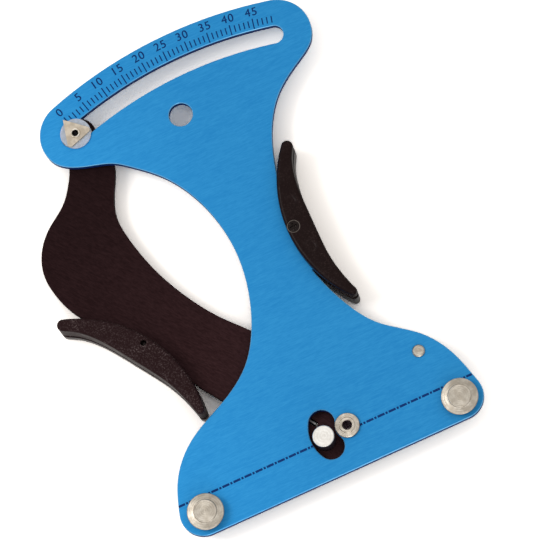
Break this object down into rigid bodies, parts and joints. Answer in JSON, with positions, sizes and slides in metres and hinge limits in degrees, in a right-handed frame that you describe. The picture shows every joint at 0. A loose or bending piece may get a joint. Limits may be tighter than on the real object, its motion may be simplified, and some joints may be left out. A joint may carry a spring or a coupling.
{
  "type": "spoke tension meter",
  "caption": "Hand-held spoke tension meter: a waisted plate with a slotted arc scale and fixed posts, and a sprung lever behind it with pointer, moving post and grips.",
  "frame": {"origin": "the lever pivot's axis at the level of the surface that the tool lies on, back down", "axes": "+X from the left fixed post to the right one, +Y from the posts towards the scale, +Z out of the face"},
  "size_m": [0.1505, 0.2073, 0.0172],
  "materials": {
    "blue_plate": "blue anodised, fine brushed grain along the post line",
    "dark_lever": "dark brown anodised, fine brushed grain",
    "turned_metal": "turned and nickel plated, satin",
    "pointer_metal": "stamped and nickel plated",
    "spring_wire": "drawn spring wire",
    "black_screw": "blackened steel",
    "grip_plastic": "moulded, fine texture",
    "white_plastic": "natural acetal",
    "clear_plastic": "clear"
  },
  "bodies": {
    "frame": {"front_plate": "blue_plate", "left_post": "turned_metal", "right_post": "turned_metal", "pivot_bush": "turned_metal", "plate_spacer": "white_plastic", "spring_hub": "white_plastic", "spring_pin": "turned_metal", "return_spring": "spring_wire", "right_grip_front": "grip_plastic", "right_grip_rear": "grip_plastic", "right_grip_screw": "black_screw"},
    "lever": {"lever_plate": "dark_lever", "moving_post": "turned_metal", "pointer": "pointer_metal", "pointer_front_washer": "clear_plastic", "pointer_bush": "white_plastic", "pointer_rear_washer": "white_plastic", "pointer_rivet": "pointer_metal", "left_grip_front": "grip_plastic", "left_grip_rear": "grip_plastic", "left_grip_screw": "black_screw"}
  },
  "joints": [
    {"name": "lever_swing", "type": "hinge", "parent": "frame", "child": "lever", "pos_m": [0, 0, 0], "axis": [0, 0, -1], "range_deg": [0, 31.5], "stiffness_Nm_per_rad": 1.2, "springref_deg": -28.65, "deforming": ["return_spring"]}
  ]
}
